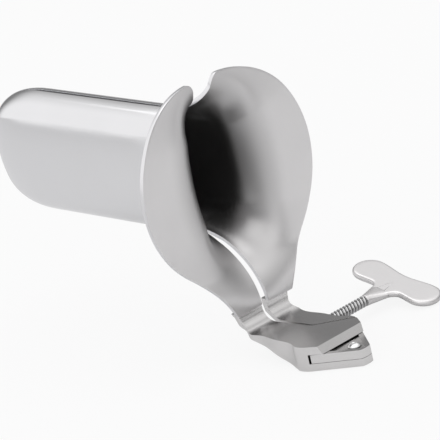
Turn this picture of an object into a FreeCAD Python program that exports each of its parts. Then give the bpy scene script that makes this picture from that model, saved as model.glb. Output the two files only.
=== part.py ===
import FreeCAD, Part

import math
import os

V = FreeCAD.Vector
os.makedirs("parts", exist_ok=True)

# Bivalve speculum with a box joint at the front of its handle, closed.
# The origin is where the pivot's axis meets the joint's flat underside. +Z is up, -X points
# along the blades to their tip, and the left valve lies on the -Y side. Sizes are millimetres.

# The blades: an oval tube of sheet steel, split down the middle.
MOUTH_BEHIND_PIVOT = 37.2
TUBE_ABOVE_UNDERSIDE = 49.4
TUBE_HALF_WIDTH = 10.5
TUBE_HALF_HEIGHT = 17.5
TUBE_END_RADIUS = 9.4
SHEET = 1.3
BLADE_LENGTH = 98.0
TIP_LENGTH = 24.0
TIP_FULLNESS = 2.2
SPLIT = 0.5

# The flare: its depth along the tube, its reach away from the tube and where it ends
# from the mouth plane, each at the sides, at the top and at the bottom.
FLARE_DEPTH = (8.0, 18.0, 27.0)
FLARE_REACH = (8.0, 11.5, 24.0)
FLARE_FRONT = (1.2, -2.8, 3.5)
SKIN_REACH = 28.0
TUBE_ROWS_END = 1.35

# The rim's outline seen along the tube.
RIM_RADIUS = 30.6
CROWN_RADIUS = 23.5
CROWN_ANGLE = 35.0
NOTCH_HALF_WIDTH = 3.4
NOTCH_ROUND = 3.0
NECK_HALF_WIDTH = 11.0
NECK_RADIUS = 25.0
SEAM_BELOW_AXIS = 27.0
SPLIT_WIDENS = 3.0

# The arms: sheet at the neck that thickens into a solid bar.
NECK_THICK = 1.8
ARM_GAP_TOP = 2.6
ARM_GAP_LOW = 2.1
ARM_TOP_BELOW_AXIS = 34.0
FLOOR_BEND = 4.6
BAR_LEAN = 0.6

# The bar's underside seen from the side, as (x, z): where it leaves the table, then the slope
# up to the knee. The heel stands this far behind the neck's front, at this height.
UNDERSIDE_END = -14.0
SLOPE_END = (-28.0, 4.5)
KNEE = (-31.3, 6.0)
HEEL_BACK = 1.2
HEEL_HEIGHT = 9.0

# The handle's edge seen from above, as places along x and half-widths.
WAIST_X = -26.2
WAIST_HALF_WIDTH = 8.1
SHOULDER_X = -11.7
SHOULDER_HALF_WIDTH = 10.7
SHOULDER_ROUND = (2.4, 0.15)
CHEEK_CORNER = (4.4, 1.1)
NOSE_HALF_WIDTH = 2.0
NOSE_REACH = 6.9
NOSE_ROUND = 0.9

# The box joint: two cheeks of the left arm, with the right arm's tongue between them.
LOWER_CHEEK = 2.1
TONGUE = 2.45
UPPER_CHEEK = 2.25
SLIDE_GAP = 0.1
SLOT_RADIUS = 12.7
TONGUE_RADIUS = 12.1
CHEEK_FRONT = -5.2
CHEEK_SLANT = 1.0
SEAM_START = (-33.2, 0.2)
SEAM_CORNER = (-17.7, 1.5)
SEAM_ANGLE = 46.0
SEAM_GAP = 0.5
ROOT_LENGTH = 3.5
RECESS_DEPTH = 0.35
RECESS_BORDER = 1.5
RECESS_BACK = 2.0

# The pivot rivet.
RIVET_RADIUS = 1.25
RIVET_RUNNING = 0.05
RIVET_HEAD_RADIUS = 1.9
RIVET_HEAD_HEIGHT = 0.9
RIVET_FOOT_RADIUS = 2.1
RIVET_FOOT_DEPTH = 0.8
RIVET_DIMPLE_RADIUS = 0.8
RIVET_DIMPLE_DEPTH = 0.3

# The opening screw: a rod whose end is a spigot in the neck of the thumb plate.
SCREW_X = -20.2
SCREW_Z = 4.35
SCREW_RADIUS = 1.6
SCREW_RUNNING = 0.05
SCREW_TIP_GAP = 0.15
THREAD_END = 24.3
SPIGOT_RADIUS = 1.0
SPIGOT_LENGTH = 4.0
SPIGOT_RUNNING = 0.05

# The thumb plate and its flattened neck. Places are (across, along the screw).
NECK_END = 31.5
NECK_WIDE = 3.0
NECK_FLAT = 1.5
PLATE_THICK = 1.8
PLATE_TILT = 13.5
PLATE_ROOT = 27.5
ROOT_HALF_WIDTH = 1.9
ROOT_TOP = (3.0, 29.9)
THROAT_MID = (3.75, 31.65)
THROAT = (5.4, 32.3)
LOBE_PLACE = (11.5, 37.3)
LOBE_RADIUS = 5.4
PLATE_TOP = 41.4

MOUTH = V(-MOUTH_BEHIND_PIVOT, 0, TUBE_ABOVE_UNDERSIDE)
FLOOR = LOWER_CHEEK + TONGUE + UPPER_CHEEK + 2 * SLIDE_GAP
FAR = 200.0


def prism(edges, direction):
    """Solid swept from a closed outline."""
    return Part.Face(Part.Wire(Part.__sortEdges__(edges))).extrude(direction)


def polyline(points):
    """Edges from each point to the next."""
    return [Part.makeLine(a, b) for a, b in zip(points, points[1:])]


def mirrored(shape):
    """The same shape on the other side of the split plane."""
    return shape.mirror(V(0, 0, 0), V(0, 1, 0))


# The oval section is two end arcs and two flatter side arcs, tangent where they meet.
END_CENTRE = TUBE_HALF_HEIGHT - TUBE_END_RADIUS
SIDE_RADIUS = (TUBE_HALF_WIDTH ** 2 + END_CENTRE ** 2 - TUBE_END_RADIUS ** 2) / (
    2 * (TUBE_HALF_WIDTH - TUBE_END_RADIUS)
)
SIDE_CENTRE = SIDE_RADIUS - TUBE_HALF_WIDTH
TANGENT_ANGLE = math.atan2(END_CENTRE, SIDE_CENTRE)


def oval(angle, inset):
    """Point (y, z) of the oval where its outward normal stands at angle, drawn in by inset."""
    if abs(angle) <= TANGENT_ANGLE:
        radius = SIDE_RADIUS - inset
        return radius * math.cos(angle) - SIDE_CENTRE, radius * math.sin(angle)
    radius = TUBE_END_RADIUS - inset
    centre = math.copysign(END_CENTRE, angle)
    return radius * math.cos(angle), centre + radius * math.sin(angle)


def around(angle, sizes):
    """A flare size at angle, eased from its side value to its top or bottom value."""
    side, top, bottom = sizes
    end = top if angle > 0 else bottom
    return side + (end - side) * math.sin(angle) ** 2


def skin_point(kind, value, angle, inset):
    """Point of a valve's face in the tube's own frame, inset from the outer face of the sheet."""
    y, z = oval(angle, inset)
    if kind == "tip":
        turn = math.radians(value)
        shrink = math.cos(turn) ** (2 / TIP_FULLNESS)
        reach = (TIP_LENGTH - inset) * math.sin(turn) ** (2 / TIP_FULLNESS)
        return V(TIP_LENGTH - BLADE_LENGTH - reach, y * shrink, z * shrink)
    if kind == "tube":
        return V(value, y, z)
    behind = inset - SHEET
    depth = around(angle, FLARE_DEPTH) + behind
    reach = around(angle, FLARE_REACH) + behind
    front = around(angle, FLARE_FRONT) + behind
    if kind == "flare":
        turn = math.radians(value)
        out = reach * (1 - math.cos(turn))
        x = front - depth * (1 - math.sin(turn))
    else:
        out = reach + (SKIN_REACH - reach) * value
        x = front
    return V(x, y + out * math.cos(angle), z + out * math.sin(angle))


def skin(inset):
    """Smooth face of a blade, its flare and its neck, steered by a net of points."""
    end = math.degrees(TANGENT_ANGLE)
    upper = [0, end / 2, end, 28, 42, 54, 66, 78, 90]
    angles = [-a for a in reversed(upper[1:])] + upper
    tube_start = TIP_LENGTH - BLADE_LENGTH
    tube_end = -TUBE_ROWS_END * max(FLARE_DEPTH)
    rows = [("tip", w) for w in (84, 78, 70, 60, 50, 40, 28, 14)]
    rows += [("tube", tube_start + (tube_end - tube_start) * i / 3) for i in range(4)]
    rows += [("flare", w) for w in range(0, 91, 10)]
    rows += [("flat", i / 4) for i in range(1, 5)]
    poles = [[skin_point(kind, v, math.radians(a), inset) for a in angles] for kind, v in rows]
    knots = []
    for count in (len(rows), len(angles)):
        spans = count - 3
        knots.append((list(range(spans + 1)), [4] + [1] * (spans - 1) + [4]))
    (u_knots, u_counts), (v_knots, v_counts) = knots
    surface = Part.BSplineSurface()
    surface.buildFromPolesMultsKnots(
        poles, u_counts, v_counts, u_knots, v_knots, False, False, 3, 3
    )
    return surface


def sheet_between(front, back):
    """Solid between two faces of the same net, closed by straight walls round their edges."""
    faces = [front.toShape(), back.toShape()]
    u_low, u_high, v_low, v_high = front.bounds()
    for u in (u_low, u_high):
        faces.append(Part.makeRuledSurface(front.uIso(u).toShape(), back.uIso(u).toShape()))
    for v in (v_low, v_high):
        faces.append(Part.makeRuledSurface(front.vIso(v).toShape(), back.vIso(v).toShape()))
    shell = Part.makeShell(faces)
    shell.sewShape()
    solid = Part.Solid(shell)
    if solid.Volume < 0:
        solid.reverse()
    return solid


def trimmed(sheet, outline):
    """A sheet cut to its outline seen along the tube, and put in its place."""
    trim = prism(outline, V(2 * FAR, 0, 0))
    trim.translate(V(-FAR, 0, 0))
    shape = sheet.common(trim)
    shape.translate(MOUTH)
    return shape


def neck_tangent():
    """Centre of the neck's hollow arc and the point where it leaves the rim's circle."""
    centre_y = NECK_HALF_WIDTH + NECK_RADIUS
    span = RIM_RADIUS + NECK_RADIUS
    centre_z = -math.sqrt(span ** 2 - centre_y ** 2)
    return V(0, centre_y, centre_z), V(0, centre_y, centre_z) * (RIM_RADIUS / span)


def neck_half_width(z):
    """Half-width of the neck at height z from the tube's axis."""
    centre, start = neck_tangent()
    if z <= centre.z:
        return NECK_HALF_WIDTH
    return centre.y - math.sqrt(NECK_RADIUS ** 2 - (z - centre.z) ** 2)


def valve_outline():
    """Edges of one valve's outline seen along the tube, from the seam up to the crown and back."""
    half = SPLIT / 2
    seam = -SEAM_BELOW_AXIS
    centre, leave = neck_tangent()
    crown_shift = RIM_RADIUS - CROWN_RADIUS
    turn = math.radians(CROWN_ANGLE)
    crown = V(0, crown_shift * math.cos(turn), crown_shift * math.sin(turn))
    meet = V(0, RIM_RADIUS * math.cos(turn), RIM_RADIUS * math.sin(turn))
    top = crown + V(0, 0, CROWN_RADIUS)
    notch_low = V(0, half, TUBE_HALF_HEIGHT)
    notch_high = V(0, NOTCH_HALF_WIDTH, top.z - NOTCH_ROUND)
    bulge = NOTCH_ROUND * (1 - math.cos(math.radians(45)))
    notch_mid = V(0, NOTCH_HALF_WIDTH + bulge, top.z - bulge)
    crown_mid = crown + V(0, math.sin(turn), math.cos(turn)) * CROWN_RADIUS
    side_mid = V(0, RIM_RADIUS, 0)
    neck_end = V(0, neck_half_width(seam), seam)
    mid_z = (leave.z + seam) / 2
    neck_mid = V(0, neck_half_width(mid_z), mid_z)
    split_low = V(0, half, -TUBE_HALF_HEIGHT)
    split_open = V(0, ARM_GAP_TOP / 2, -TUBE_HALF_HEIGHT - SPLIT_WIDENS)
    seam_split = V(0, ARM_GAP_TOP / 2, seam)
    edges = polyline([seam_split, split_open, split_low, notch_low, notch_high])
    edges.append(Part.Arc(notch_high, notch_mid, top).toShape())
    edges.append(Part.Arc(top, crown_mid, meet).toShape())
    edges.append(Part.Arc(meet, side_mid, leave).toShape())
    edges.append(Part.Arc(leave, neck_mid, neck_end).toShape())
    edges.append(Part.makeLine(neck_end, seam_split))
    return edges


def blade():
    """Right-hand blade and flare: one sheet, trimmed to its outline."""
    return trimmed(sheet_between(skin(SHEET), skin(0)), valve_outline())


def neck_outline():
    """Edges of the arm's neck seen along the tube, from the seam down to the floor's bend."""
    top = -SEAM_BELOW_AXIS
    low = FLOOR + FLOOR_BEND - TUBE_ABOVE_UNDERSIDE
    mid = (top + low) / 2
    corners = [V(0, neck_half_width(z), z) for z in (top, mid, low)]
    inner_top = V(0, ARM_GAP_TOP / 2, top)
    inner_low = V(0, ARM_GAP_LOW / 2, low)
    edges = polyline([corners[2], inner_low, inner_top, corners[0]])
    edges.append(Part.Arc(corners[0], corners[1], corners[2]).toShape())
    return edges


def neck():
    """Right-hand neck: the flare's front face carried down, in thicker metal."""
    return trimmed(sheet_between(skin(SHEET), skin(SHEET - NECK_THICK)), neck_outline())


def bar_profile():
    """Side view of the arm's bar: front of the neck, bend, floor, underside and back."""
    front = FLARE_FRONT[2] - MOUTH_BEHIND_PIVOT
    top = TUBE_ABOVE_UNDERSIDE - ARM_TOP_BELOW_AXIS
    bend = V(front + FLOOR_BEND, 0, FLOOR + FLOOR_BEND)
    bend_start = V(front, 0, bend.z)
    turn = math.radians(225)
    bend_mid = bend + V(math.cos(turn), 0, math.sin(turn)) * FLOOR_BEND
    bend_end = V(bend.x, 0, FLOOR)
    nose = V(NOSE_REACH + NOSE_HALF_WIDTH, 0, FLOOR)
    under = V(UNDERSIDE_END, 0, 0)
    slope = V(SLOPE_END[0], 0, SLOPE_END[1])
    knee = V(KNEE[0], 0, KNEE[1])
    heel = V(front - HEEL_BACK, 0, HEEL_HEIGHT)
    back = V(front - NECK_THICK, 0, bend.z)
    face_top = V(front - BAR_LEAN, 0, top)
    edges = [Part.makeLine(face_top, bend_start)]
    edges.append(Part.Arc(bend_start, bend_mid, bend_end).toShape())
    edges += polyline([bend_end, nose, V(nose.x, 0, 0), under, slope])
    edges += polyline([slope, knee, heel, back, V(back.x, 0, top), face_top])
    return edges


def plan_side():
    """Points and arcs of the handle's right edge seen from above, from the neck to the nose."""
    front = FLARE_FRONT[2] - MOUTH_BEHIND_PIVOT
    half = neck_half_width(FLOOR + FLOOR_BEND - TUBE_ABOVE_UNDERSIDE)
    start = V(front - NECK_THICK - HEEL_BACK, half, 0)
    bend = V(front - BAR_LEAN / 2, half, 0)
    waist = V(WAIST_X, WAIST_HALF_WIDTH, 0)
    shoulder = V(SHOULDER_X, SHOULDER_HALF_WIDTH, 0)
    corner = shoulder + V(SHOULDER_ROUND[0], -SHOULDER_ROUND[1], 0)
    cheek = shoulder + V(CHEEK_CORNER[0], -CHEEK_CORNER[1], 0)
    nose = V(NOSE_REACH - NOSE_ROUND, NOSE_HALF_WIDTH, 0)
    edges = [Part.makeLine(start, bend), Part.Arc(bend, waist, shoulder).toShape()]
    edges.append(Part.Arc(shoulder, corner, cheek).toShape())
    edges.append(Part.makeLine(cheek, nose))
    return start, nose, edges


def plan():
    """Solid of the whole handle's outline seen from above."""
    start, nose, right = plan_side()
    left = [mirrored(edge) for edge in right]
    nose_left = V(nose.x, -nose.y, 0)
    start_left = V(start.x, -start.y, 0)
    tip = Part.Arc(nose, V(NOSE_REACH, 0, 0), nose_left).toShape()
    back = Part.makeLine(start_left, start)
    shape = prism(right + left + [tip, back], V(0, 0, FAR))
    shape.translate(V(0, 0, -FAR / 2))
    return shape


def seam_region(gap):
    """Everything on the right arm's side of the seam, drawn back from it by gap."""
    turn = math.radians(SEAM_ANGLE)
    slope = (SEAM_CORNER[1] - SEAM_START[1]) / (SEAM_CORNER[0] - SEAM_START[0])
    back_x = -FAR
    start = V(back_x, SEAM_START[1] + slope * (back_x - SEAM_START[0]) + gap, 0)
    corner = V(SEAM_CORNER[0], SEAM_CORNER[1] + gap, 0)
    end = corner + V(math.cos(turn), math.sin(turn), 0) * FAR
    points = [start, corner, end, V(back_x, end.y, 0), start]
    shape = prism(polyline(points), V(0, 0, FAR))
    shape.translate(V(0, 0, -FAR / 2))
    return shape


def disc(radius, low, high):
    """Round slab about the pivot."""
    return Part.makeCylinder(radius, high - low, V(0, 0, low))


def box(low, high):
    """Box between two corners."""
    return Part.makeBox(high.x - low.x, high.y - low.y, high.z - low.z, low)


def bar():
    """Both arms' bars in one, before they are parted."""
    profile = prism(bar_profile(), V(0, 2 * FAR, 0))
    profile.translate(V(0, -FAR, 0))
    return profile.common(plan())


def root_region(gap, low, high):
    """Space that the tongue's root takes on the right of the joint, with gap added round it."""
    back = SEAM_CORNER[0] - ROOT_LENGTH - gap
    return box(V(back, SEAM_CORNER[1] + SEAM_GAP - gap, low), V(0, FAR, high))


def rivet_foot():
    """The rivet's foot, spread in the lower cheek."""
    return Part.makeCone(RIVET_FOOT_RADIUS, RIVET_RADIUS, RIVET_FOOT_DEPTH)


def left_arm():
    """Left arm with its two cheeks and the slot between them."""
    slot_low = LOWER_CHEEK
    slot_high = LOWER_CHEEK + TONGUE + 2 * SLIDE_GAP
    body = bar().cut(seam_region(0))
    slot = disc(SLOT_RADIUS, slot_low, slot_high)
    slot = slot.fuse(root_region(SEAM_GAP, slot_low, slot_high))
    body = body.cut(slot)
    front = polyline([
        V(CHEEK_FRONT, 0, FLOOR),
        V(CHEEK_FRONT + CHEEK_SLANT, 0, slot_high),
        V(CHEEK_FRONT + CHEEK_SLANT, 0, slot_high - SLIDE_GAP),
        V(FAR, 0, slot_high - SLIDE_GAP),
        V(FAR, 0, FLOOR),
        V(CHEEK_FRONT, 0, FLOOR),
    ])
    opening = prism(front, V(0, 2 * FAR, 0))
    opening.translate(V(0, -FAR, 0))
    body = body.cut(opening)
    body = body.cut(Part.makeCylinder(RIVET_RADIUS, FLOOR)).cut(rivet_foot())
    return body.fuse(mirrored(neck())).removeSplitter()


def tongue():
    """The right arm's tongue: arrow-shaped plate with a shallow recess round the rivet."""
    low = LOWER_CHEEK + SLIDE_GAP
    high = low + TONGUE
    region = disc(TONGUE_RADIUS, low, high).fuse(root_region(0, low, high))
    plate = region.common(plan())
    nose, right = plan_side()[1:]
    cheek = right[-1].Vertexes[0].Point
    slope = (cheek.y - nose.y) / (nose.x - cheek.x)
    border = RECESS_BORDER * math.hypot(1, slope)
    apex = V(nose.x + (nose.y - border) / slope, 0, high)
    back_x = CHEEK_FRONT - RECESS_BACK
    back_y = (apex.x - back_x) * slope
    corners = [apex, V(back_x, back_y, high), V(back_x, -back_y, high), apex]
    recess = prism(polyline(corners), V(0, 0, -RECESS_DEPTH))
    return plate, recess


def right_arm():
    """Right arm with its tongue and the threaded hole for the screw."""
    body = bar().common(seam_region(SEAM_GAP))
    plate, recess = tongue()
    body = body.fuse(plate).fuse(neck())
    body = body.cut(Part.makeCylinder(RIVET_RADIUS + RIVET_RUNNING, FLOOR))
    mouth = V(SCREW_X, 0, SCREW_Z)
    hole = Part.makeCylinder(SCREW_RADIUS + SCREW_RUNNING, FAR, mouth, V(0, 1, 0))
    return body.cut(recess).cut(hole).removeSplitter()


def cap_radius(half_width, height):
    """Radius of the sphere whose cap has this half-width and height."""
    return (half_width ** 2 + height ** 2) / (2 * height)


def pivot_rivet():
    """Rivet with a foot flush in the lower cheek and a dimpled domed head over the tongue."""
    seat = LOWER_CHEEK + 3 * SLIDE_GAP + TONGUE - RECESS_DEPTH
    top = seat + RIVET_HEAD_HEIGHT
    shank = Part.makeCylinder(RIVET_RADIUS, seat + SLIDE_GAP)
    dome = cap_radius(RIVET_HEAD_RADIUS, RIVET_HEAD_HEIGHT)
    head = Part.makeSphere(dome, V(0, 0, top - dome))
    head = head.common(Part.makeCylinder(RIVET_HEAD_RADIUS, FLOOR, V(0, 0, seat)))
    hollow = cap_radius(RIVET_DIMPLE_RADIUS, RIVET_DIMPLE_DEPTH)
    dimple = Part.makeSphere(hollow, V(0, 0, top + hollow - RIVET_DIMPLE_DEPTH))
    return rivet_foot().fuse(shank).fuse(head).cut(dimple).removeSplitter()


def seam_y(x):
    """Where the left arm's inner wall stands at x, behind the joint."""
    slope = (SEAM_CORNER[1] - SEAM_START[1]) / (SEAM_CORNER[0] - SEAM_START[0])
    return SEAM_START[1] + slope * (x - SEAM_START[0])


def plate_frame(shape):
    """Turn a shape drawn flat about the screw's axis to the plate's tilt and put it in place."""
    shape.rotate(V(0, 0, 0), V(0, 1, 0), PLATE_TILT)
    shape.translate(V(SCREW_X, 0, SCREW_Z))
    return shape


def screw():
    """Threaded rod with a rounded tip and a spigot for the thumb plate's neck."""
    along = V(0, 1, 0)
    start = seam_y(SCREW_X) + SCREW_TIP_GAP + SCREW_RADIUS
    ball = Part.makeSphere(SCREW_RADIUS, V(0, start, 0))
    rod = Part.makeCylinder(SCREW_RADIUS, THREAD_END - start, V(0, start, 0), along)
    length = THREAD_END + SPIGOT_LENGTH - start
    spigot = Part.makeCylinder(SPIGOT_RADIUS, length, V(0, start, 0), along)
    return plate_frame(ball.fuse(rod).fuse(spigot).removeSplitter())


def plate_outline():
    """Edges of the thumb plate drawn flat: root, throats, round lobes and hollow top."""
    lobe_x, lobe_y = LOBE_PLACE
    edges = []
    for side in (1, -1):
        stem = V(side * ROOT_HALF_WIDTH, PLATE_ROOT, 0)
        root = V(side * ROOT_TOP[0], ROOT_TOP[1], 0)
        throat_mid = V(side * THROAT_MID[0], THROAT_MID[1], 0)
        throat = V(side * THROAT[0], THROAT[1], 0)
        foot = V(side * lobe_x, lobe_y - LOBE_RADIUS, 0)
        outer = V(side * (lobe_x + LOBE_RADIUS), lobe_y, 0)
        top = V(side * lobe_x, lobe_y + LOBE_RADIUS, 0)
        edges.append(Part.makeLine(stem, root))
        edges.append(Part.Arc(root, throat_mid, throat).toShape())
        edges.append(Part.makeLine(throat, foot))
        edges.append(Part.Arc(foot, outer, top).toShape())
    right_top = V(lobe_x, lobe_y + LOBE_RADIUS, 0)
    left_top = V(-lobe_x, lobe_y + LOBE_RADIUS, 0)
    edges.append(Part.Arc(left_top, V(0, PLATE_TOP, 0), right_top).toShape())
    left_stem = V(-ROOT_HALF_WIDTH, PLATE_ROOT, 0)
    edges.append(Part.makeLine(left_stem, V(ROOT_HALF_WIDTH, PLATE_ROOT, 0)))
    return edges


def thumb_plate():
    """Flat two-lobed plate with a flattened conical neck, bored for the rod's spigot."""
    along = V(0, 1, 0)
    neck_start = V(0, THREAD_END + SLIDE_GAP, 0)
    neck_part = Part.makeCone(SCREW_RADIUS, NECK_WIDE, NECK_END - neck_start.y, neck_start, along)
    low = V(-NECK_WIDE, neck_start.y, -NECK_FLAT)
    neck_part = neck_part.common(box(low, V(NECK_WIDE, NECK_END, NECK_FLAT)))
    plate = prism(plate_outline(), V(0, 0, PLATE_THICK))
    plate.translate(V(0, 0, -PLATE_THICK / 2))
    depth = SPIGOT_LENGTH + SLIDE_GAP
    bore = Part.makeCylinder(SPIGOT_RADIUS + SPIGOT_RUNNING, depth, V(0, THREAD_END, 0), along)
    return plate_frame(plate.fuse(neck_part).cut(bore).removeSplitter())


def main():
    right_blade = blade()
    parts = {
        "left_blade": mirrored(right_blade),
        "right_blade": right_blade,
        "left_arm": left_arm(),
        "right_arm": right_arm(),
        "pivot_rivet": pivot_rivet(),
        "screw_shaft": screw(),
        "thumb_plate": thumb_plate(),
    }
    for name, shape in parts.items():
        print(name, shape.ShapeType, len(shape.Solids), shape.isValid(), round(shape.Volume, 1))
        shape.exportStep("parts/" + name + ".step")


main()
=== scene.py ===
# %% [markdown]
# # A bivalve speculum in polished steel
#
# The real object is two pressed steel blades, each fastened to one arm of a small hinged handle.
# A hand screw in one arm pushes the arms, and with them the blades, apart. Here the solids of the
# handle come in as a fixed frame, and the smooth polished skins are worked out as surfaces, because
# a mirror finish shows every facet of a coarse mesh.

# %% Load the frame
import math

import bmesh
import bpy
import numpy as np
from mathutils import Matrix, Vector


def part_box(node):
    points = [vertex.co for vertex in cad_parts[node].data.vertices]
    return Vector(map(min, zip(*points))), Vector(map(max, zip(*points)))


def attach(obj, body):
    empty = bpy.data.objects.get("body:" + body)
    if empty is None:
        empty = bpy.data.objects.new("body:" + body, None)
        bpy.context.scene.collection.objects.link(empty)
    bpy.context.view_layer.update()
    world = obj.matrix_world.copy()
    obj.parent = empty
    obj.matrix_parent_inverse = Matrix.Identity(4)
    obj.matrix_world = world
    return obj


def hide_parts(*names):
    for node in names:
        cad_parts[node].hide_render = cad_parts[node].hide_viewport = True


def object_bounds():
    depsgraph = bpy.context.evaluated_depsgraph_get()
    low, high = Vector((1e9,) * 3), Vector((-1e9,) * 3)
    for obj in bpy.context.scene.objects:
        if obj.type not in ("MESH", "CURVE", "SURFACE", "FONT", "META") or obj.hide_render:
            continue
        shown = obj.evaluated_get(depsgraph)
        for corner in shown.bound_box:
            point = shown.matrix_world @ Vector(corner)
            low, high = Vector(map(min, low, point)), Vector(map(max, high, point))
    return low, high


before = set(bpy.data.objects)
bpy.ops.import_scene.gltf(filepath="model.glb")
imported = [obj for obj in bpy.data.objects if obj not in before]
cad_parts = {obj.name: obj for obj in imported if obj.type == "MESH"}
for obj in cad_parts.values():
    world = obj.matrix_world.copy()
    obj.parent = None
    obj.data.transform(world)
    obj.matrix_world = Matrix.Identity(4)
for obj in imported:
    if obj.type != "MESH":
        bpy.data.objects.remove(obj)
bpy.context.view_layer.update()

# %% [markdown]
# ## Putting a surface into a mesh
#
# Every skin below is a function of two parameters, sampled on a grid. One helper turns a grid of
# points into quads, closes an end with a fan where the form is closed there, and can join the last
# column to the first. Working on whole arrays keeps the form readable as a formula.

# %% A grid of points becomes a piece
MM = 0.001


def grid_piece(name, points, ring=False, close_start=False, close_end=False, flip=False):
    """Piece from points [row, column, xyz] in millimetres. Quads join neighbours; ring joins the
    last column to the first; a closed end gets a fan round the middle of its row."""
    rows, columns, _ = points.shape
    index = np.arange(rows * columns).reshape(rows, columns)
    if ring:
        index = np.hstack([index, index[:, :1]])
    quads = np.stack([index[:-1, :-1], index[:-1, 1:], index[1:, 1:], index[1:, :-1]], axis=-1)
    faces = quads.reshape(-1, 4).tolist()
    vertices = points.reshape(-1, 3)
    for wanted, row, turn in ((close_start, 0, True), (close_end, -1, False)):
        if wanted:
            hub = len(vertices)
            vertices = np.vstack([vertices, points[row].mean(axis=0)])
            edge = np.stack([index[row, :-1], index[row, 1:]], axis=-1)
            edge = edge[:, ::-1] if turn else edge
            fan = np.hstack([edge, np.full((len(edge), 1), hub)])
            faces += fan.tolist()
    if flip:
        faces = [face[::-1] for face in faces]
    mesh = bpy.data.meshes.new(name)
    mesh.from_pydata((vertices * MM).tolist(), [], faces)
    mesh.validate()
    mesh.polygons.foreach_set("use_smooth", np.ones(len(mesh.polygons), bool))
    piece = bpy.data.objects.new(name, mesh)
    bpy.context.scene.collection.objects.link(piece)
    print(name, "has", len(mesh.polygons), "faces")
    return piece


# %% A rounded edge, as a polishing wheel leaves it
EDGE_SEGMENTS = 3


def round_edges(piece, width, corner):
    """Rounds the edges that turn by more than corner, to a width in millimetres."""
    bevel = piece.modifiers.new("edge", "BEVEL")
    bevel.width = width * MM
    bevel.segments = EDGE_SEGMENTS
    bevel.limit_method = "ANGLE"
    bevel.angle_limit = corner
    return bevel


# %% [markdown]
# ## The blade
#
# On the real object a blade is one pressed sheet: a closed rounded tip, half of an oval tube, and a
# mouth that flares out to a wide rim. Its outline seen along the tube is a round rim with a notch
# at the top and a narrowing neck at the bottom. It could be a lathed form cut by a boolean, but the
# cut would leave ragged triangles in a mirror finish. So one grid runs from tip to rim: its columns
# leave the oval squarely, and its last row is the outline itself.

# %% Sizes of the tube, in millimetres
PIVOT_TO_MOUTH = 37.2
AXIS_HEIGHT = 49.4
TUBE_HALF_WIDTH = 10.5
TUBE_HALF_HEIGHT = 19.4
END_RADIUS = 9.4
SHEET = 1.3
BLADE_LENGTH = 97.3
TIP_LENGTH = 24.0
TIP_POWER = 2 / 2.5
HALF_SPLIT = 0.45

END_CENTRE = TUBE_HALF_HEIGHT - END_RADIUS
SIDE_RADIUS = (TUBE_HALF_WIDTH ** 2 + END_CENTRE ** 2 - END_RADIUS ** 2) / (
    2 * (TUBE_HALF_WIDTH - END_RADIUS)
)
SIDE_CENTRE = SIDE_RADIUS - TUBE_HALF_WIDTH
TANGENT = math.atan2(END_CENTRE, SIDE_CENTRE)
print("flat side of the tube: radius", round(SIDE_RADIUS, 1), "mm")

# %% Sizes of the flare and the rim, each flare size at its side, top and bottom
FLARE_DEPTH = (8.0, 18.0, 27.0)
FLARE_REACH = (8.5, 10.0, 20.0)
FLARE_FRONT = (0.2, -2.8, 3.5)
RIM_RADIUS = 30.6
CROWN_RADIUS = 23.5
CROWN_ANGLE = math.radians(35)
NOTCH_HALF_WIDTH = 3.4
NOTCH_ROUND = 3.0
HALF_GAP = 1.3
SPLIT_WIDENS = 3.0

# %% Sizes of the neck, with heights from the tube's axis
NECK_HALF_WIDTH = 6.3
NECK_RADIUS = 45.0
NECK_BOTTOM = -37.0
NECK_EVEN = (-25.0, -34.0)
NECK_SINKS = (-35.8, -37.0)
NECK_SUNK = 0.12
print("the neck's sheet ends", round(AXIS_HEIGHT + NECK_BOTTOM, 1), "mm above the underside")


# %% The oval section and the flare as formulas
def oval(angle, inset):
    """Point (y, z) of the tube's section whose outward normal stands at angle: a flat side arc
    up to TANGENT, and a rounder end arc beyond it, both drawn in by inset."""
    side = np.abs(angle) <= TANGENT
    radius = np.where(side, SIDE_RADIUS, END_RADIUS) - inset
    y = radius * np.cos(angle) - np.where(side, SIDE_CENTRE, 0)
    z = radius * np.sin(angle) + np.where(side, 0, np.sign(angle) * END_CENTRE)
    return y, z


def ray_angle(y, z):
    """Angle of the normal of the oval that passes through (y, z)."""
    side = np.arctan2(z, y + SIDE_CENTRE)
    return np.where(np.abs(side) <= TANGENT, side, np.arctan2(z - np.sign(z) * END_CENTRE, y))


def around(angle, sizes):
    """Size at angle, eased from its side value to its top or bottom value by sine squared."""
    side, top, bottom = sizes
    return side + (np.where(angle > 0, top, bottom) - side) * np.sin(angle) ** 2


def ease(value, start, end):
    """Smooth step from 0 at start to 1 at end."""
    share = np.clip((value - start) / (end - start), 0, 1)
    return share * share * (3 - 2 * share)


def flare_x(y, z, inset):
    """Place along the tube of the flare over (y, z): a quarter of an ellipse that leaves the tube
    lengthwise and ends facing forward once its reach is used up."""
    angle = ray_angle(y, z)
    y0, z0 = oval(angle, inset)
    out = np.hypot(y - y0, z - z0)
    depth, reach, front = (around(angle, s) for s in (FLARE_DEPTH, FLARE_REACH, FLARE_FRONT))
    front = front + (FLARE_FRONT[2] - front) * ease(z, *NECK_EVEN)
    front = front - NECK_SUNK * ease(z, *NECK_SINKS)
    behind = inset - SHEET
    cosine = np.clip(1 - out / (reach + behind), 0, 1)
    return front + behind - (depth + behind) * (1 - np.sqrt(1 - cosine ** 2))


# %% The outline of the rim, notch and neck
def along_ray(angle, centre, radius, sign):
    """Where the oval's normal at angle crosses a circle, going in (-1) or out (+1) of it."""
    y0, z0 = oval(angle, 0)
    dy, dz = np.cos(angle), np.sin(angle)
    py, pz = y0 - centre[0], z0 - centre[1]
    middle = py * dy + pz * dz
    length = -middle + sign * np.sqrt(middle ** 2 - (py ** 2 + pz ** 2 - radius ** 2))
    return y0 + length * dy, z0 + length * dz


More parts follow.
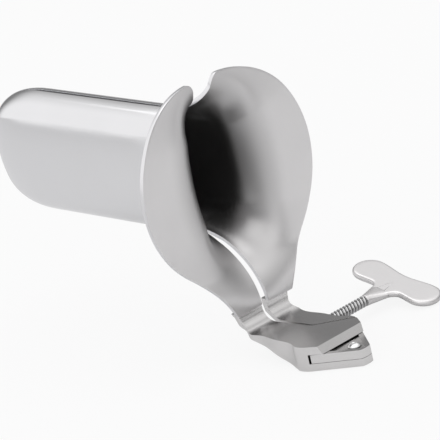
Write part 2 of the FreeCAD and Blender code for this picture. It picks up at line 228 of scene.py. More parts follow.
def outline(parts):
    """Columns' angles and the outline's points, from the seam round the rim to the notch. Each of
    the five stretches gets its own number of columns, so that the corners fall on columns."""
    neck_y = NECK_HALF_WIDTH + NECK_RADIUS
    neck_z = -math.sqrt((RIM_RADIUS + NECK_RADIUS) ** 2 - neck_y ** 2)
    share = RIM_RADIUS / (RIM_RADIUS + NECK_RADIUS)
    leave = (neck_y * share, neck_z * share)
    neck_end = neck_y - math.sqrt(NECK_RADIUS ** 2 - (NECK_BOTTOM - neck_z) ** 2)
    crown = ((RIM_RADIUS - CROWN_RADIUS) * math.cos(CROWN_ANGLE),
             (RIM_RADIUS - CROWN_RADIUS) * math.sin(CROWN_ANGLE))
    meet = (RIM_RADIUS * math.cos(CROWN_ANGLE), RIM_RADIUS * math.sin(CROWN_ANGLE))
    top = (crown[0], crown[1] + CROWN_RADIUS)
    corners = [-math.pi / 2] + [
        float(ray_angle(*p)) for p in ((neck_end, NECK_BOTTOM), leave, meet, top)
    ] + [math.pi / 2]
    spans = [np.linspace(a, b, n + 1) for a, b, n in zip(corners, corners[1:], parts)]
    seam, hollow, rim, arc, notch = spans
    seam_y = (NECK_BOTTOM + END_CENTRE) / np.tan(seam)
    seam_y = HALF_GAP + seam_y * (1 - HALF_GAP / neck_end)
    turn = (notch - notch[0]) / (notch[-1] - notch[0]) * math.pi / 4
    curves = [
        (seam_y, np.full_like(seam, NECK_BOTTOM)),
        along_ray(hollow, (neck_y, neck_z), NECK_RADIUS, -1),
        along_ray(rim, (0, 0), RIM_RADIUS, 1),
        along_ray(arc, crown, CROWN_RADIUS, 1),
        (top[0] - (top[0] - NOTCH_HALF_WIDTH) * np.sin(turn),
         top[1] - NOTCH_ROUND * (1 - np.cos(turn))),
    ]
    angle = np.concatenate([s[:-1] for s in spans[:-1]] + [notch])
    y = np.concatenate([c[0][:-1] for c in curves[:-1]] + [curves[-1][0]])
    z = np.concatenate([c[1][:-1] for c in curves[:-1]] + [curves[-1][1]])
    return angle, y, z


# %% The edges of the split and the notch
SPLIT_EASE = 1.2
NOTCH_POINTS = 20


def clear_of_split(y):
    """Moves the places next to the split plane out to the split's edge, and eases to none."""
    return y + HALF_SPLIT * np.clip(1 - y / SPLIT_EASE, 0, 1)


def split_edge(z):
    """Half-width of the split at height z: narrow beside the tube, wider below it."""
    share = np.clip((-TUBE_HALF_HEIGHT + SHEET - z) / SPLIT_WIDENS, 0, 1)
    return HALF_SPLIT + (HALF_GAP - HALF_SPLIT) * share


def notch_edge(start, corner, share):
    """Point at a share of the way along the notch's edge: a straight run from the tube, then the
    first half of the quarter ellipse that rounds it over, up to the outline's corner."""
    wide = corner[0] - NOTCH_HALF_WIDTH
    round_wide = wide / (1 - math.cos(math.pi / 4))
    low = corner[1] - NOTCH_ROUND * math.sin(math.pi / 4)
    turn = np.linspace(0, math.pi / 4, NOTCH_POINTS)
    y = np.append(start[0], NOTCH_HALF_WIDTH + round_wide * (1 - np.cos(turn)))
    z = np.append(start[1], low + NOTCH_ROUND * np.sin(turn))
    length = np.append(0, np.cumsum(np.hypot(np.diff(y), np.diff(z))))
    place = share * length[-1]
    return np.interp(place, length, y), np.interp(place, length, z)


# %% The blade's grid, from tip to rim
TIP_ROWS = 22
TUBE_ROWS = 26
FLARE_ROWS = 46
OUTLINE_COLUMNS = (20, 22, 36, 34, 10)
TIP_LAST = math.radians(87)
EDGE_BLEND = math.radians(28)


def blade_points(inset):
    """Grid of the right-hand blade. Tip rows are the oval shrunk by cos^p while they run forward by
    sin^p; tube rows are the oval; flare rows go from the oval to the outline, where the edge rows
    bend to the split and the notch by a blend of the four border curves."""
    angle, rim_y, rim_z = outline(OUTLINE_COLUMNS)
    y0, z0 = oval(angle, inset)
    y0 = clear_of_split(y0)
    turn = np.linspace(TIP_LAST, 0, TIP_ROWS, endpoint=False)[:, None]
    shrink = np.cos(turn) ** TIP_POWER
    tip_x = TIP_LENGTH - BLADE_LENGTH - (TIP_LENGTH - inset) * np.sin(turn) ** TIP_POWER
    tip_y = clear_of_split(oval(angle, inset)[0] * shrink)
    tip = np.stack([tip_x + 0 * y0, tip_y, z0 * shrink], axis=-1)
    share = np.linspace(0, 1, TUBE_ROWS)[:, None]
    start = TIP_LENGTH - BLADE_LENGTH
    root = flare_x(y0, z0, inset)
    tube_x = start + (root - start) * share
    tube = np.stack([tube_x, y0 + 0 * tube_x, z0 + 0 * tube_x], axis=-1)
    v = (np.linspace(0, 1, FLARE_ROWS + 1)[1:, None]) ** 2
    y = y0 + (rim_y - y0) * v
    z = z0 + (rim_z - z0) * v
    low_z = z0[0] + (rim_z[0] - z0[0]) * v
    low_y = split_edge(low_z)
    high_y, high_z = notch_edge((y0[-1], z0[-1]), (rim_y[-1], rim_z[-1]), v)
    near_low = np.clip(1 - (angle + math.pi / 2) / EDGE_BLEND, 0, 1) ** 2
    near_high = np.clip(1 - (math.pi / 2 - angle) / EDGE_BLEND, 0, 1) ** 2
    y = y + (low_y - y[:, :1]) * near_low + (high_y - y[:, -1:]) * near_high
    z = z + (high_z - z[:, -1:]) * near_high
    flare = np.stack([flare_x(y, z, inset), y, z], axis=-1)
    return np.concatenate([tip, tube, flare]) + (-PIVOT_TO_MOUTH, 0, AXIS_HEIGHT)


# %% Both blades, one the mirror image of the other
RIM_EDGE = 0.45
SHEET_CORNER = math.radians(50)


def finish_sheet(piece):
    """Gives a skin its thickness on its outer side, where the second finish lies, and rounds its
    edges."""
    solid = piece.modifiers.new("thickness", "SOLIDIFY")
    solid.thickness = SHEET * MM
    solid.offset = 1
    solid.material_offset = 1
    solid.material_offset_rim = 1
    round_edges(piece, RIM_EDGE, SHEET_CORNER)


right_points = blade_points(SHEET)
left_points = right_points * (1, -1, 1)
right_skin = grid_piece("right_blade_skin", right_points, flip=True)
left_skin = grid_piece("left_blade_skin", left_points)
for skin, side in ((right_skin, "right"), (left_skin, "left")):
    finish_sheet(skin)
    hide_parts(side + "_blade")
    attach(skin, side + "_valve")

# %% [markdown]
# ## The arms and the rivet
#
# The arms are forgings: flat faces, sharp steps at the box joint, and edges broken by polishing.
# Their solids carry the joint, so a copy of each is merged and its flat faces are made whole again.
# What the grinder took off or left on is then a smooth function of place, which moves the copy's
# points, and a small bevel gives every edge the round that catches the light.

# %% The grinder's hand on the forgings, in millimetres
BAR_TOP = 12.7
BEND_NARROWS = 0.23
BEND_NARROWS_DOWN = (20.0, 7.5)
BEND_NARROWS_BACK = (-30.0, -33.5)
SIDE_FILLS = 0.19
SIDE_FILLS_AT = (-21.0, 5.0)
GAP_OPENS = 0.8
GAP_OPENS_BACK = (-26.0, -33.0)
GAP_OPENS_WITHIN = 6.0
NOSE_FROM = 2.0
NOSE_SHORTER = 0.5


def dressed(place, side):
    """Places on an arm after grinding, in millimetres: narrower towards the foot of the bend,
    fuller along the sides, a wider gap between the arms at the bend and a blunter nose."""
    x, y, z = place.T
    narrow = BEND_NARROWS * ease(z, *BEND_NARROWS_DOWN) * ease(x, *BEND_NARROWS_BACK)
    middle, spread = SIDE_FILLS_AT
    full = SIDE_FILLS * np.exp(-((x - middle) / spread) ** 2)
    y = y * (1 - narrow) * (1 + full)
    near_gap = np.clip(1 - np.abs(y) / GAP_OPENS_WITHIN, 0, 1)
    y = y + side * GAP_OPENS * ease(x, *GAP_OPENS_BACK) * near_gap
    x = np.where(x > NOSE_FROM, NOSE_FROM + (x - NOSE_FROM) * NOSE_SHORTER, x)
    return np.stack([x, y, z], axis=-1)


def grind(mesh, side):
    """Moves an arm's points to their dressed places, and keeps how far each face looks up, for
    the painted shade on faces that look up."""
    place = np.empty(len(mesh.vertices) * 3)
    mesh.vertices.foreach_get("co", place)
    place = dressed(place.reshape(-1, 3) / MM, side) * MM
    mesh.vertices.foreach_set("co", place.ravel())
    normals = np.empty(len(mesh.polygons) * 3)
    mesh.polygons.foreach_get("normal", normals)
    mesh.attributes.new("upward", "FLOAT", "FACE").data.foreach_set("value", normals[2::3])


# %% Rounded copies of the forged pieces
WELD = 0.002
FLAT_WITHIN = math.radians(0.5)
SHARP_FROM = math.radians(28)
FORGED_CORNER = math.radians(32)


def rounded_copy(node, name, edge, side=0):
    """Copy of a frame node with its triangles joined, flat faces made whole and edges rounded.
    An arm, with a side of its own, loses the neck above the bar, which the skin carries."""
    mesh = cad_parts[node].data.copy()
    mesh.name = name
    body = bmesh.new()
    body.from_mesh(mesh)
    bmesh.ops.remove_doubles(body, verts=body.verts, dist=WELD * MM)
    if side:
        everything = list(body.verts) + list(body.edges) + list(body.faces)
        cut = bmesh.ops.bisect_plane(body, geom=everything, plane_co=(0, 0, BAR_TOP * MM),
                                     plane_no=(0, 0, 1), clear_outer=True)
        rim = [item for item in cut["geom_cut"] if isinstance(item, bmesh.types.BMEdge)]
        bmesh.ops.holes_fill(body, edges=rim)
    bmesh.ops.dissolve_limit(body, angle_limit=FLAT_WITHIN, verts=body.verts, edges=body.edges)
    body.to_mesh(mesh)
    body.free()
    if side:
        grind(mesh, side)
    mesh.polygons.foreach_set("use_smooth", np.ones(len(mesh.polygons), bool))
    mesh.set_sharp_from_angle(angle=SHARP_FROM)
    piece = bpy.data.objects.new(name, mesh)
    bpy.context.scene.collection.objects.link(piece)
    round_edges(piece, edge, FORGED_CORNER).harden_normals = True
    print(name, "has", len(mesh.polygons), "faces")
    return piece


ARM_EDGE = 0.4
RIVET_EDGE = 0.12
for node, body, slot, edge, side in (
    ("left_arm", "left_valve", "arm_steel", ARM_EDGE, -1),
    ("right_arm", "right_valve", "arm_steel", ARM_EDGE, 1),
    ("pivot_rivet", "left_valve", "rivet_steel", RIVET_EDGE, 0),
):
    piece = rounded_copy(node, node + "_forged", edge, side)
    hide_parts(node)
    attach(piece, body)

# %% [markdown]
# ## The screw
#
# The real screw has a fine cut thread and a rounded tip that bears on the other arm. A helix could
# be swept, but a thread is simply a rod whose radius depends on how far round and how far along it
# a point is, so the same grid helper makes it from one formula.

# %% The threaded rod, in millimetres
SCREW_X = -20.2
SCREW_Z = 4.35
SCREW_RADIUS = 1.6
PITCH = 1.14
THREAD_DEPTH = 0.42
THREAD_STEEPNESS = 1.25
CREST_SHARE = 0.12
THREAD_END = 24.3
TIP_POLE = 0.02
ROWS_PER_TURN = 14
SCREW_COLUMNS = 48
SCREW_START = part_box("screw_shaft")[0].y / MM
print("the screw's rounded tip lies at y =", round(SCREW_START, 2), "mm")


def thread_points():
    """Radius = full radius less the thread depth times a rounded triangle wave of
    (place / pitch - angle / full turn), never more than the ball at the tip allows."""
    rows = int((THREAD_END - SCREW_START) / PITCH * ROWS_PER_TURN)
    along = np.linspace(SCREW_START, THREAD_END, rows)[:, None]
    turn = np.linspace(0, 2 * math.pi, SCREW_COLUMNS, endpoint=False)[None, :]
    phase = (along / PITCH - turn / (2 * math.pi)) % 1
    wave = np.clip(THREAD_STEEPNESS * np.abs(2 * phase - 1) - CREST_SHARE, 0, 1)
    radius = SCREW_RADIUS - THREAD_DEPTH * wave
    into = np.clip(SCREW_START + SCREW_RADIUS - along, 0, SCREW_RADIUS)
    ball = np.sqrt(SCREW_RADIUS ** 2 - into ** 2) + TIP_POLE
    radius = np.minimum(radius, ball)
    x = SCREW_X + radius * np.cos(turn)
    z = SCREW_Z + radius * np.sin(turn)
    return np.stack([x, along + 0 * x, z], axis=-1)


def mark_root(screw):
    """Keeps for the finish how deep in the thread each point lies, from 0 on the crest to 1."""
    place = np.empty(len(screw.data.vertices) * 3)
    screw.data.vertices.foreach_get("co", place)
    place = place.reshape(-1, 3) / MM - (SCREW_X, 0, SCREW_Z)
    depth = np.clip((SCREW_RADIUS - np.hypot(place[:, 0], place[:, 2])) / THREAD_DEPTH, 0, 1)
    past_ball = place[:, 1] > SCREW_START + SCREW_RADIUS
    root = screw.data.attributes.new("root", "FLOAT", "POINT")
    root.data.foreach_set("value", depth * past_ball)


screw = grid_piece("screw_thread", thread_points(), ring=True, close_start=True, close_end=True)
mark_root(screw)
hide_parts("screw_shaft")
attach(screw, "screw")

# %% [markdown]
# ## The thumb plate
#
# A flat two-lobed plate, stamped and then tumbled so that its edges are fully round, stands in a
# flattened conical neck. The plate is a closed outline carried round a half-round edge section,
# the neck a round section that flattens as it widens.

# %% The plate's outline, in millimetres across and along the screw's axis
PLATE_TILT = math.radians(13.5)
PLATE_ROOT = 28.5
ROOT_HALF_WIDTH = 2.1
ROOT_TOP = (3.0, 30.2)
THROAT = (4.9, 32.4)
LOBE_CENTRE = (10.0, 37.2)
LOBE_RADIUS = 5.1
PLATE_TOP = 41.0
LOBE_FOOT = (LOBE_CENTRE[0], LOBE_CENTRE[1] - LOBE_RADIUS)
LOBE_TOP = (LOBE_CENTRE[0], LOBE_CENTRE[1] + LOBE_RADIUS)
ROOT_CORNER = (ROOT_HALF_WIDTH, PLATE_ROOT)
ROOT_CURVE = ((0, PLATE_ROOT), (0.8, PLATE_ROOT), (1.4, PLATE_ROOT), ROOT_CORNER)
SHANK_CURVE = (ROOT_CORNER, (2.4, 29.5), (2.7, 29.6), ROOT_TOP)
THROAT_CURVE = (ROOT_TOP, (3.4, 31.3), (4.2, 32.2), THROAT)
UNDER_LOBE_CURVE = (THROAT, (6.3, 32.6), (8.2, LOBE_FOOT[1]), LOBE_FOOT)
TOP_CURVE = (LOBE_TOP, (6.9, LOBE_TOP[1]), (3.6, PLATE_TOP), (0, PLATE_TOP))
ROOT_POINTS, SHANK_POINTS, THROAT_POINTS = 4, 5, 10
UNDER_LOBE_POINTS, LOBE_POINTS, TOP_POINTS = 12, 40, 24


def bezier(points, count):
    """Cubic curve from the first to the last of four points, steered by the two between them,
    without its last point."""
    t = np.linspace(0, 1, count, endpoint=False)[:, None]
    a, b, c, d = np.array(points, float)
    return a * (1 - t) ** 3 + 3 * b * t * (1 - t) ** 2 + 3 * c * t ** 2 * (1 - t) + d * t ** 3


def plate_outline():
    """Half outline: root, shank, throat, half-round lobe and hollow top; then its mirror image."""
    turn = np.linspace(-math.pi / 2, math.pi / 2, LOBE_POINTS, endpoint=False)[:, None]
    half = np.vstack([
        bezier(ROOT_CURVE, ROOT_POINTS),
        bezier(SHANK_CURVE, SHANK_POINTS),
        bezier(THROAT_CURVE, THROAT_POINTS),
        bezier(UNDER_LOBE_CURVE, UNDER_LOBE_POINTS),
        np.hstack([LOBE_CENTRE[0] + LOBE_RADIUS * np.cos(turn),
                   LOBE_CENTRE[1] + LOBE_RADIUS * np.sin(turn)]),
        bezier(TOP_CURVE, TOP_POINTS),
    ])
    other = half[::-1] * (-1, 1)
    return np.vstack([half, [(0, PLATE_TOP)], other[:-1]])


# %% The plate with its half-round edge
PLATE_THICK = 1.8
EDGE_ROUND_SHARE = 0.85
EDGE_ROWS = 13
FACE_SHARES = (0.02, 0.25, 0.5, 0.75, 0.92)


def tilted(across, along, up):
    """Places drawn flat about the screw's axis, turned by the plate's tilt and put in place."""
    x = across * math.cos(PLATE_TILT) + up * math.sin(PLATE_TILT)
    z = -across * math.sin(PLATE_TILT) + up * math.cos(PLATE_TILT)
    return np.stack([SCREW_X + x, along + 0 * x, SCREW_Z + z], axis=-1)


def plate_points():
    """The outline drawn in by one minus the cosine of the edge angle while the height follows its
    sine, closed on both faces by shrinking the outline to the plate's middle."""
    line = plate_outline()
    step = np.roll(line, -1, axis=0) - np.roll(line, 1, axis=0)
    normal = np.stack([step[:, 1], -step[:, 0]], axis=-1)
    normal /= np.linalg.norm(normal, axis=1)[:, None]
    middle = np.array([0, (PLATE_TOP + THROAT[1]) / 2])
    half = PLATE_THICK / 2
    drawn_in = normal * half * EDGE_ROUND_SHARE
    flat = line - drawn_in
    rows = [tilted(*(middle + (flat - middle) * share).T, -half) for share in FACE_SHARES]
    for turn in np.linspace(-math.pi / 2, math.pi / 2, EDGE_ROWS):
        ring = line - drawn_in * (1 - math.cos(turn))
        rows.append(tilted(*ring.T, half * math.sin(turn)))
    rows += [tilted(*(middle + (flat - middle) * share).T, half) for share in FACE_SHARES[::-1]]
    return np.array(rows)


# %% The plate's neck
NECK_START = THREAD_END + 0.1
NECK_END = 31.5
NECK_CAP = 1.0
NECK_WIDE = 3.3
NECK_FLAT = 0.98
NECK_SQUARES = 0.9
NECK_ROWS = 24
CAP_ROWS = 6
CAP_ANGLES = (0.25, 1.45)
NECK_COLUMNS = 64


def neck_points():
    """Ring whose width grows steadily from the rod's while its thickness shrinks a little, as the
    power of a superellipse rises from round to flat-sided, with a rounded far end."""
    turn = np.linspace(0, 2 * math.pi, NECK_COLUMNS, endpoint=False)
    share = np.concatenate([np.linspace(0, 1, NECK_ROWS), np.ones(CAP_ROWS)])[:, None]
    close = np.cos(np.linspace(*CAP_ANGLES, CAP_ROWS))
    close = np.concatenate([np.ones(NECK_ROWS), close])[:, None]
    wide = (SCREW_RADIUS + (NECK_WIDE - SCREW_RADIUS) * share) * close
    flat = (SCREW_RADIUS + (NECK_FLAT - SCREW_RADIUS) * share) * close
    power = 2 / (2 + NECK_SQUARES * share)
    across = wide * np.sign(np.cos(turn)) * np.abs(np.cos(turn)) ** power
    up = flat * np.sign(np.sin(turn)) * np.abs(np.sin(turn)) ** power
    along = NECK_START + (NECK_END - NECK_CAP - NECK_START) * share
    along = along + NECK_CAP * np.sqrt(1 - close * close)
    return tilted(across, along, up)


plate = grid_piece("thumb_plate_wing", plate_points(), ring=True, close_start=True, close_end=True)
neck = grid_piece("thumb_plate_neck", neck_points(), ring=True, close_start=True, close_end=True)
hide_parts("thumb_plate")
for piece in (plate, neck):
    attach(piece, "thumb_screw_plate")

# %% [markdown]
# ## Shader arithmetic
#
# A finish is a sum of small effects: polish marks, faint smudges, a darker thread root. Written as
# Python expressions they read like formulas, so one small class wraps a socket and adds the Math
# node behind each operator, and one method makes every other kind of node.


# %% Sockets with arithmetic
def link(tree, slot, value):
    """Puts a value or a link into a socket."""
    if isinstance(value, Socket):
        tree.links.new(slot, value.output)
    else:
        slot.default_value = value


class Socket:
    """An output of a shader tree that can be added, subtracted and multiplied."""

    def __init__(self, tree, output):
        self.tree = tree
        self.output = output

    def math(self, operation, first, second):
        node = self.tree.nodes.new("ShaderNodeMath")
        node.operation = operation
        for slot, value in zip(node.inputs, (first, second)):
            link(self.tree, slot, value)
        return Socket(self.tree, node.outputs[0])

    def __add__(self, other):
        return self.math("ADD", self, other)

    __radd__ = __add__

    def __sub__(self, other):
        return self.math("SUBTRACT", self, other)

    def __rsub__(self, other):
        return self.math("SUBTRACT", other, self)

    def __mul__(self, other):
        return self.math("MULTIPLY", self, other)

    __rmul__ = __mul__


# %% One method for every other node
class Finish:
    """A shader tree under construction, of a material or the world."""

    def __init__(self, owner):
        self.owner = owner
        owner.use_nodes = True
        self.tree = owner.node_tree
        self.tree.nodes.clear()

    def node(self, kind, settings=None, output=0, numbered=None, **sockets):
        """Adds a node of this kind, its settings first and then its sockets. A socket goes by its
        name, with underscores for spaces, or by its number where two have the same name."""
        node = self.tree.nodes.new("ShaderNode" + kind)
        for key, value in (settings or {}).items():
            setattr(node, key, value)
        for key, value in (numbered or {}).items():
            link(self.tree, node.inputs[key], value)
        for key, value in sockets.items():
            link(self.tree, node.inputs[key.replace("_", " ")], value)
        return Socket(self.tree, node.outputs[output] if node.outputs else None)

    def eased(self, value, start, end, low=0.0, high=1.0):
        """Smooth step from low, where the value is start, to high, where it is end."""
        return self.node("MapRange", {"interpolation_type": "SMOOTHSTEP"}, Value=value,
                         From_Min=start, From_Max=end, To_Min=low, To_Max=high)


# %% [markdown]
# ## The steel finishes
#
# All pieces are the same stainless steel, and mostly the polish differs: the blades are nearly
# mirror bright outside and satin inside, the arms are satin, the thumb plate is tumbled matt.
# Painted shade darkens the colour deep inside the tube and on the arms' faces that look up, and the
# thread is darker in its root. A metal takes its look from what it reflects, so each finish
# is mostly its roughness: an even part, streaks drawn out along the polishing direction, and soft
# patches where hands and cloths were. The colour sinks where the roughness rises.

# %% Where the polish or the colour differs over one piece: satin, painted shade and a darker thread root
UPWARD = (0.3, 0.97)


def satin_towards(finish, place, satin):
    """Roughness added along the blade. Satin is (x where it begins, x where it is full, roughness
    added), in metres."""
    start, end, extra = satin
    along = finish.node("SeparateXYZ", output="X", Vector=place)
    return extra * finish.eased(along, start, end)


def painted_shade_inside(finish, place, inside_shade):
    """Share of the colour left under the painted shade inside the tube. Its last argument is (size
    where the shade is deepest, size where it ends, colour left), a size being that of the oval
    about the tube's axis through a place."""
    low, high, left = inside_shade
    scale = (0, 1 / (TUBE_HALF_WIDTH * MM), 1 / (TUBE_HALF_HEIGHT * MM))
    oval_place = finish.node("Mapping", Vector=place, Scale=scale,
                             Location=(0, 0, -AXIS_HEIGHT / TUBE_HALF_HEIGHT))
    size = finish.node("VectorMath", {"operation": "LENGTH"}, output="Value", Vector=oval_place)
    return finish.eased(size, low, high, left)


def painted_shade_on_top(finish, upward_shade):
    """Share of the colour left where a forging's face looks up, under painted shade of the given
    share.
    """
    upward = finish.node("Attribute", {"attribute_name": "upward"}, output="Fac")
    return 1 - upward_shade * finish.eased(upward, *UPWARD)


def darker_in_root(finish, root):
    """Share of the colour left in the thread, whose root loses root of it."""
    deep = finish.node("Attribute", {"attribute_name": "root"}, output="Fac")
    return 1 - root * deep


# %% One recipe for all of them
WHITE = (1, 1, 1, 1)
STREAK_NOISE = {"Scale": 1.0, "Detail": 3.0, "Roughness": 0.6}
PATCH_NOISE = {"Scale": 55.0, "Detail": 2.0, "Roughness": 0.5, "Distortion": 0.6}
FINE_NOISE = {"Scale": 420.0, "Detail": 2.0, "Roughness": 0.5}
PATCH_TINT = 0.35
STREAK_TINT = 0.25
STREAK_RELIEF = 0.7
FINE_RELIEF = 0.3
RELIEF_DEPTH = 0.0001


def steel(name, colour, roughness, streaks, stretch, patches, relief, satin=None, inside_shade=None,
          upward_shade=0, root=0):
    """Steel whose roughness is an even part plus streaks, drawn out by the stretch along x, y and
    z, plus soft patches. Relief is the strength of a fine bump. Of the last four, satin is where
    the polish differs, the middle two paint shade inside the tube and on faces that look up, and
    root darkens the thread's root."""
    finish = Finish(bpy.data.materials.new(name))
    place = finish.node("TexCoord", output="Object")
    drawn = finish.node("Mapping", Vector=place, Scale=stretch)
    streak = finish.node("TexNoise", Vector=drawn, **STREAK_NOISE)
    patch = finish.node("TexNoise", Vector=place, **PATCH_NOISE)
    fine = finish.node("TexNoise", Vector=place, **FINE_NOISE)
    rough = roughness + streaks * (streak - 0.5) + patches * (patch - 0.5)
    tint = 1 - PATCH_TINT * patches * (patch - 0.5) - STREAK_TINT * streaks * (streak - 0.5)
    if satin is not None:
        rough = rough + satin_towards(finish, place, satin)
    # Painted shade: the colour is darkened deep inside the tube.
    if inside_shade is not None:
        tint = tint * painted_shade_inside(finish, place, inside_shade)
    # Painted shade: the colour is darkened on faces that look up.
    if upward_shade:
        tint = tint * painted_shade_on_top(finish, upward_shade)
    # The thread is darker towards its root.
    if root:
        tint = tint * darker_in_root(finish, root)
    grey = finish.node("CombineColor", Red=tint, Green=tint, Blue=tint)
    base = finish.node("Mix", {"data_type": "RGBA", "blend_type": "MULTIPLY"}, output=2,
                       Factor=1.0, A=(*colour, 1), B=grey)
    height = streak * STREAK_RELIEF + fine * FINE_RELIEF
    normal = finish.node("Bump", Strength=relief, Distance=RELIEF_DEPTH, Height=height)
    shader = finish.node("BsdfPrincipled", Base_Color=base, Metallic=1.0, Roughness=rough,
                         Normal=normal)
    finish.node("OutputMaterial", Surface=shader)
    print("finish:", name)
    return finish.owner


# %% Finishes of the pieces
BLADE_STRETCH = (40.0, 700.0, 700.0)
ARM_STRETCH = (120.0, 120.0, 900.0)
PLATE_STRETCH = (900.0, 120.0, 900.0)
MOUTH_SATIN = (-0.066, -0.050, 0.16)
# Painted shade deep inside the tube: sizes of the oval where it is deepest and where it ends, and
# the colour left.
INSIDE_SHADE = (0.8, 1.95, 0.45)
# Painted shade on the arms' faces that look up: the share of colour taken off.
UPWARD_SHADE = 0.5
# The thread's root is darker by this share of its colour.
THREAD_ROOT_DARKENING = 0.85
blade_steel = steel("polished_steel", colour=(0.80, 0.80, 0.81), roughness=0.14, streaks=0.05,
                    stretch=BLADE_STRETCH, patches=0.10, relief=0.03, satin=MOUTH_SATIN)
inside_steel = steel("satin_inside", colour=(0.80, 0.79, 0.79), roughness=0.36, streaks=0.06,
                     stretch=BLADE_STRETCH, patches=0.12, relief=0.04, inside_shade=INSIDE_SHADE)
arm_steel = steel("arm_steel", colour=(0.77, 0.76, 0.755), roughness=0.25, streaks=0.10,
                  stretch=ARM_STRETCH, patches=0.14, relief=0.06, upward_shade=UPWARD_SHADE)
rivet_steel = steel("rivet_steel", colour=(0.72, 0.72, 0.72), roughness=0.28, streaks=0.08,
                    stretch=ARM_STRETCH, patches=0.16, relief=0.15)
screw_steel = steel("screw_steel", colour=(0.70, 0.70, 0.70), roughness=0.22, streaks=0.08,
                    stretch=PLATE_STRETCH, patches=0.12, relief=0.05, root=THREAD_ROOT_DARKENING)
plate_steel = steel("plate_steel", colour=(0.69, 0.68, 0.68), roughness=0.36, streaks=0.10,
                    stretch=PLATE_STRETCH, patches=0.14, relief=0.06)

# %% Each piece gets its finish, a blade's skin one for each side of the sheet
for name, materials in (
    ("right_blade_skin", (inside_steel, blade_steel)),
    ("left_blade_skin", (inside_steel, blade_steel)),
    ("left_arm_forged", (arm_steel,)),
    ("right_arm_forged", (arm_steel,)),
    ("pivot_rivet_forged", (rivet_steel,)),
    ("screw_thread", (screw_steel,)),
    ("thumb_plate_wing", (plate_steel,)),
    ("thumb_plate_neck", (plate_steel,)),
):
    mesh = bpy.data.objects[name].data
    mesh.materials.clear()
    for material in materials:
        mesh.materials.append(material)
    print(name, "wears", [material.name for material in mesh.materials])

# %% [markdown]
# ## Floor, light and camera
#
# The speculum stands on a pale floor in a plain white room. Polished steel shows its room, so most
# of the picture is the room's own levels: bright above and on the lens's left, dimmer low down on
# the right. A dark cloth lies under the lens, out of the picture, and gives the mouth its deep
# tones. Three large soft boxes add the plain even light that would suit any other object too.


# %% A flat card that lies on the table
def card(name, low, high, level):
    """Rectangle between two corners (x, y) at one height, in metres, that faces up."""
    (x0, y0), (x1, y1) = low, high
    mesh = bpy.data.meshes.new(name)
    mesh.from_pydata([(x0, y0, level), (x1, y0, level), (x1, y1, level), (x0, y1, level)], [],
                     [(0, 1, 2, 3)])
    piece = bpy.data.objects.new(name, mesh)
    bpy.context.scene.collection.objects.link(piece)
    print(name, "measures", round(x1 - x0, 3), "by", round(y1 - y0, 3), "m")
    return piece


# %% The floor
FLOOR_HALF = 1.2
FLOOR_CLEAR = 0.0002
PAPER = (0.62, 0.62, 0.625, 1)
SEEN_BY_CAMERA = 0.88
SEEN_IN_STEEL = 0.12
floor_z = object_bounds()[0].z - FLOOR_CLEAR
floor = card("floor", (-FLOOR_HALF, -FLOOR_HALF), (FLOOR_HALF, FLOOR_HALF), floor_z)
paper = Finish(bpy.data.materials.new("floor_paper"))
camera_ray, glossy_ray, clear_ray = (
    paper.node("LightPath", output=name)
    for name in ("Is Camera Ray", "Is Glossy Ray", "Is Transmission Ray")
)
seen = SEEN_BY_CAMERA * camera_ray + SEEN_IN_STEEL * (glossy_ray + clear_ray)
diffuse = paper.node("BsdfDiffuse", Color=PAPER)
glow = paper.node("Emission", Color=WHITE, Strength=1.0)
paper.node("OutputMaterial",
           Surface=paper.node("MixShader", numbered={0: seen, 1: diffuse, 2: glow}))
floor.data.materials.append(paper.owner)

# %% The room, by the direction that is looked at
WALL_HEIGHTS = (0.2, 0.75)
WALL_LEVELS = (0.24, 0.92)
BRIGHT_SIDE = (0.25, -0.25)
BRIGHT_LEVEL = 1.02
HORIZON = (-0.065, -0.05)
TABLE_LEVEL = 0.6
GREEN_SHARE = 0.995
world = bpy.data.worlds.new("room")
bpy.context.scene.world = world
room = Finish(world)
direction = room.node("TexCoord", output="Generated")
height = room.node("SeparateXYZ", output="Z", Vector=direction)
across = room.node("SeparateXYZ", output="Y", Vector=direction)
wall = room.eased(height, *WALL_HEIGHTS, *WALL_LEVELS)
level = wall + (BRIGHT_LEVEL - wall) * room.eased(across, *BRIGHT_SIDE)
above = room.node("MapRange", Value=height, From_Min=HORIZON[0], From_Max=HORIZON[1])
level = TABLE_LEVEL + (level - TABLE_LEVEL) * above
shade = room.node("CombineColor", Red=level, Green=level * GREEN_SHARE, Blue=level)
light = room.node("Background", Color=shade, Strength=1.0)
white = room.node("Background", Color=WHITE, Strength=1.0)
to_lens = room.node("LightPath", output="Is Camera Ray")
room.node("OutputWorld", Surface=room.node("MixShader", numbered={0: to_lens, 1: light, 2: white}))
print("room level from", TABLE_LEVEL, "below to", BRIGHT_LEVEL, "on its bright side")

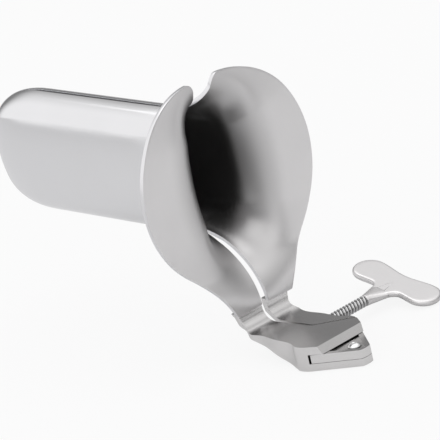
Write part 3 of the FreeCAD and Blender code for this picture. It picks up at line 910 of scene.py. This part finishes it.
# %% The dark cloth under the lens, out of the picture
CLOTH_LOW = (-0.09, -0.65)
CLOTH_HIGH = (0.55, -0.085)
CLOTH_LIFT = 0.0001
FELT = (0.1, 0.1, 0.1, 1)
cloth = card("cloth", CLOTH_LOW, CLOTH_HIGH, floor_z + CLOTH_LIFT)
cloth.visible_camera = False
cloth.visible_diffuse = False
cloth.visible_shadow = False
felt = Finish(bpy.data.materials.new("cloth_felt"))
felt.node("OutputMaterial", Surface=felt.node("BsdfDiffuse", Color=FELT))
cloth.data.materials.append(felt.owner)

# %% The lamps
AIM = (-0.06, 0.0, 0.04)


def lamp(name, place, size, power):
    """Square soft box at a place in metres, turned towards the speculum's middle."""
    data = bpy.data.lights.new(name, "AREA")
    data.shape = "RECTANGLE"
    data.size, data.size_y = size, size
    data.energy = power
    piece = bpy.data.objects.new(name, data)
    piece.location = place
    piece.rotation_euler = (Vector(AIM) - Vector(place)).to_track_quat("-Z", "Y").to_euler()
    bpy.context.scene.collection.objects.link(piece)
    print(name, "gives", power, "W")


lamp("top_box", place=(-0.15, 0.1, 0.8), size=1.0, power=2.4)
lamp("left_box", place=(0.25, -0.75, 0.45), size=0.7, power=0.5)
lamp("right_box", place=(0.7, 0.5, 0.5), size=0.7, power=0.5)

# %% The camera, at the photograph's place
CAMERA_PLACE = (0.5993, -0.5130, 0.3208)
CAMERA_RIGHT = (0.6646, 0.7175, -0.2085)
CAMERA_UP = (-0.1123, 0.3718, 0.9215)
CAMERA_BACK = (0.7387, -0.5890, 0.3277)
FOCAL_PIXELS = 3190.0
FRAME_PIXELS = 440.0
SENSOR = 36.0
NEAREST_SEEN = 0.05
view = bpy.data.cameras.new("camera")
view.sensor_width = SENSOR
view.lens = FOCAL_PIXELS / FRAME_PIXELS * SENSOR
view.clip_start = NEAREST_SEEN
camera = bpy.data.objects.new("camera", view)
turn = Matrix([CAMERA_RIGHT, CAMERA_UP, CAMERA_BACK]).transposed().to_4x4()
camera.matrix_world = Matrix.Translation(Vector(CAMERA_PLACE)) @ turn
bpy.context.scene.collection.objects.link(camera)
bpy.context.scene.camera = camera
bpy.context.scene.view_settings.view_transform = "Standard"
print("lens of", round(view.lens), "mm")
